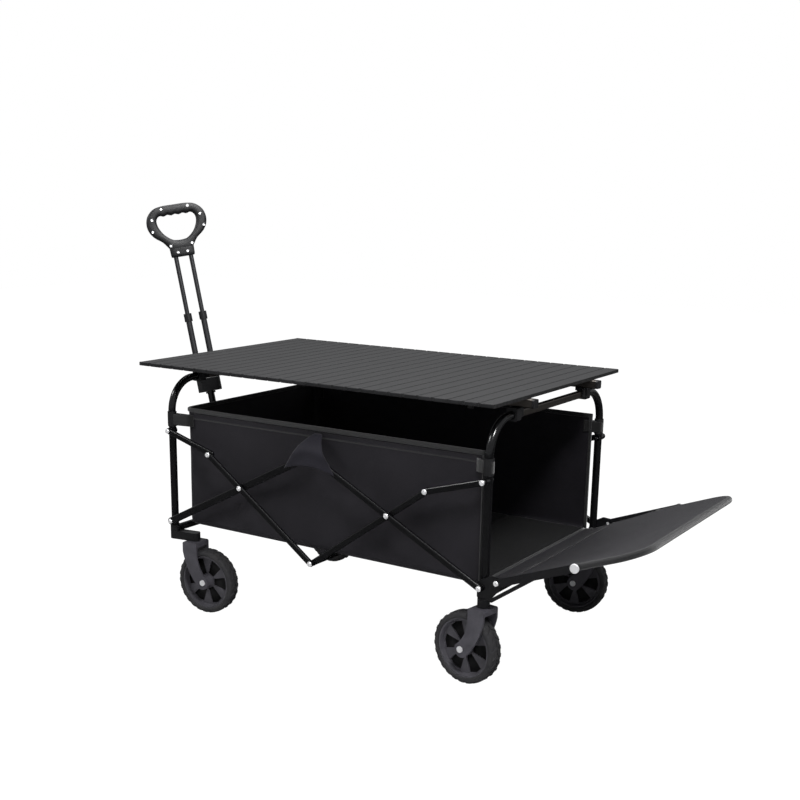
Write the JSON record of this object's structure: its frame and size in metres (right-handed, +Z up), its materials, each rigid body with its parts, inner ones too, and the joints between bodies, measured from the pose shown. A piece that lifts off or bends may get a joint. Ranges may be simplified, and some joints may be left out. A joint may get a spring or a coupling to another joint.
{
  "type": "folding camp wagon",
  "caption": "Folding four-wheel wagon: fabric basket on scissor-linked tube frames, slatted lift-off table, fold-down tail panel, telescoping pull handle and swivel casters.",
  "frame": {"origin": "on the ground, under the middle of the whole wagon's plan", "axes": "+X from the handle end to the tail end, +Y to the far side, +Z up"},
  "size_m": [1.5982, 0.656, 1.0468],
  "materials": {
    "tube_black": "black powder coat, satin gloss",
    "plate_black": "black powder coat, matt",
    "bar_grey": "dark anodised",
    "plastic_black": "fine moulded texture",
    "rivet_steel": "bright zinc",
    "rod_steel": "dark chrome",
    "basket_fabric": "coated oxford weave",
    "floor_board": "fabric-covered board",
    "tail_fabric": "coated oxford weave",
    "table_slat": "matt black, embossed",
    "fork_plastic": "moulded",
    "axle_steel": "bright zinc",
    "hub_plastic": "moulded",
    "tyre": "knobbed tread"
  },
  "bodies": {
    "front_frame": {"front_arch": "tube_black", "front_arch_bar": "bar_grey", "front_collars": "plastic_black", "front_legs": "tube_black", "front_crossbar": "tube_black", "front_corner_brackets": "plate_black", "front_leg_rivets": "rivet_steel", "basket": "basket_fabric", "basket_floor": "floor_board", "basket_flaps": "basket_fabric", "handle_bracket": "plate_black", "handle_hinge_pin": "rivet_steel"},
    "front_long_arms": {"front_long_arms": "tube_black", "front_long_arm_rivets": "rivet_steel"},
    "tail_long_arms": {"tail_long_arms": "tube_black", "tail_long_arm_rivets": "rivet_steel"},
    "front_short_arms": {"front_short_arms": "tube_black", "front_short_arm_rivets": "rivet_steel"},
    "tail_short_arms": {"tail_short_arms": "tube_black"},
    "front_links": {"front_links": "tube_black"},
    "tail_links": {"tail_links": "tube_black", "tail_link_rivets": "rivet_steel"},
    "tail_frame": {"tail_arch": "tube_black", "tail_arch_bar": "bar_grey", "tail_collars": "plastic_black", "tail_legs": "tube_black", "tail_crossbar": "tube_black", "tail_corner_brackets": "plate_black", "tail_leg_rivets": "rivet_steel"},
    "tailgate": {"tailgate_arms": "plate_black", "tailgate_frame": "tube_black", "tailgate_panel": "tail_fabric", "tailgate_knobs": "rivet_steel"},
    "table": {"table_slats": "table_slat", "table_rails": "bar_grey", "table_fittings": "plastic_black"},
    "handle_post": {"handle_post": "tube_black"},
    "handle_yoke": {"handle_yoke": "plastic_black", "handle_sleeves": "tube_black", "handle_collars": "plastic_black"},
    "handle_grip": {"handle_rods": "rod_steel", "grip_inner_half": "plastic_black", "grip_outer_half": "plastic_black", "grip_screws": "rivet_steel"},
    "front_near_caster": {"front_near_fork": "fork_plastic", "front_near_axle": "axle_steel"},
    "front_near_wheel": {"front_near_hub": "hub_plastic", "front_near_tyre": "tyre"},
    "front_far_caster": {"front_far_fork": "fork_plastic", "front_far_axle": "axle_steel"},
    "front_far_wheel": {"front_far_hub": "hub_plastic", "front_far_tyre": "tyre"},
    "tail_near_caster": {"tail_near_fork": "fork_plastic", "tail_near_axle": "axle_steel"},
    "tail_near_wheel": {"tail_near_hub": "hub_plastic", "tail_near_tyre": "tyre"},
    "tail_far_caster": {"tail_far_fork": "fork_plastic", "tail_far_axle": "axle_steel"},
    "tail_far_wheel": {"tail_far_hub": "hub_plastic", "tail_far_tyre": "tyre"}
  },
  "joints": [
    {"name": "fold", "type": "hinge", "parent": "front_frame", "child": "front_long_arms", "pos_m": [-0.4965, 0, 0.237], "axis": [0, -1, 0], "range_deg": [0, 44.42], "deforming": ["basket", "basket_floor", "basket_flaps"]},
    {"name": "peak_hinge", "type": "hinge", "parent": "front_long_arms", "child": "tail_long_arms", "pos_m": [-0.033, 0, 0.4756], "axis": [0, -1, 0], "range_deg": [-89.35, 0.5]},
    {"name": "tail_frame_hinge", "type": "hinge", "parent": "tail_long_arms", "child": "tail_frame", "pos_m": [0.4305, 0, 0.237], "axis": [0, -1, 0], "range_deg": [-0.5, 44.93]},
    {"name": "front_cross_hinge", "type": "hinge", "parent": "front_long_arms", "child": "front_short_arms", "pos_m": [-0.251, 0, 0.36338], "axis": [0, -1, 0], "range_deg": [-82.7, 0.5]},
    {"name": "tail_cross_hinge", "type": "hinge", "parent": "tail_long_arms", "child": "tail_short_arms", "pos_m": [0.185, 0, 0.36338], "axis": [0, -1, 0], "range_deg": [-0.5, 82.7]},
    {"name": "front_link_hinge", "type": "hinge", "parent": "front_frame", "child": "front_links", "pos_m": [-0.4965, 0, 0.4768], "axis": [0, -1, 0], "range_deg": [-0.5, 86.58]},
    {"name": "tail_link_hinge", "type": "hinge", "parent": "tail_frame", "child": "tail_links", "pos_m": [0.4305, 0, 0.4768], "axis": [0, -1, 0], "range_deg": [-86.58, 0.5]},
    {"name": "table_lift", "type": "slide", "parent": "front_frame", "child": "table", "axis": [0, 0, 1], "range_m": [-0.002, 0.1988]},
    {"name": "tailgate_hinge", "type": "hinge", "parent": "tail_frame", "child": "tailgate", "pos_m": [0.467, 0, 0.253], "axis": [0, -1, 0], "range_deg": [-15, 68]},
    {"name": "handle_tilt", "type": "hinge", "parent": "front_frame", "child": "handle_post", "pos_m": [-0.548, 0, 0.215], "axis": [0, -1, 0], "range_deg": [-5, 55]},
    {"name": "handle_turn", "type": "hinge", "parent": "handle_post", "child": "handle_yoke", "pos_m": [-0.548, 0, 0.215], "axis": [-0.2334, 0, 0.9724], "range_deg": [-48, 132]},
    {"name": "handle_extend", "type": "slide", "parent": "handle_yoke", "child": "handle_grip", "axis": [-0.2334, 0, 0.9724], "range_m": [-0.155, 0]},
    {"name": "front_near_swivel", "type": "hinge", "parent": "front_frame", "child": "front_near_caster", "pos_m": [-0.437, -0.28, 0.175], "axis": [0, 0, 1], "continuous": true},
    {"name": "front_near_wheel_spin", "type": "hinge", "parent": "front_near_caster", "child": "front_near_wheel", "pos_m": [-0.39715, -0.27651, 0.085], "axis": [-0.0872, 0.9962, 0], "continuous": true},
    {"name": "front_far_swivel", "type": "hinge", "parent": "front_frame", "child": "front_far_caster", "pos_m": [-0.437, 0.28, 0.175], "axis": [0, 0, 1], "continuous": true},
    {"name": "front_far_wheel_spin", "type": "hinge", "parent": "front_far_caster", "child": "front_far_wheel", "pos_m": [-0.39715, 0.27651, 0.085], "axis": [0.0872, 0.9962, 0], "continuous": true},
    {"name": "tail_near_swivel", "type": "hinge", "parent": "tail_frame", "child": "tail_near_caster", "pos_m": [0.4305, -0.296, 0.175], "axis": [0, 0, 1], "continuous": true},
    {"name": "tail_near_wheel_spin", "type": "hinge", "parent": "tail_near_caster", "child": "tail_near_wheel", "pos_m": [0.39089, -0.29043, 0.085], "axis": [-0.1392, -0.9903, 0], "continuous": true},
    {"name": "tail_far_swivel", "type": "hinge", "parent": "tail_frame", "child": "tail_far_caster", "pos_m": [0.4305, 0.296, 0.175], "axis": [0, 0, 1], "continuous": true},
    {"name": "tail_far_wheel_spin", "type": "hinge", "parent": "tail_far_caster", "child": "tail_far_wheel", "pos_m": [0.39089, 0.29043, 0.085], "axis": [0.1392, -0.9903, 0], "continuous": true}
  ],
  "couplings": [
    {"joint": "peak_hinge", "follows": "fold", "ratio": -2},
    {"joint": "tail_frame_hinge", "follows": "fold", "ratio": 1},
    {"joint": "front_cross_hinge", "follows": "fold", "ratio": -1.8503},
    {"joint": "tail_cross_hinge", "follows": "fold", "ratio": 1.8503},
    {"joint": "front_link_hinge", "follows": "fold", "ratio": 1.9376},
    {"joint": "tail_link_hinge", "follows": "fold", "ratio": -1.9376},
    {"joint": "table_lift", "follows": "fold", "m_per_rad": 0.25}
  ]
}
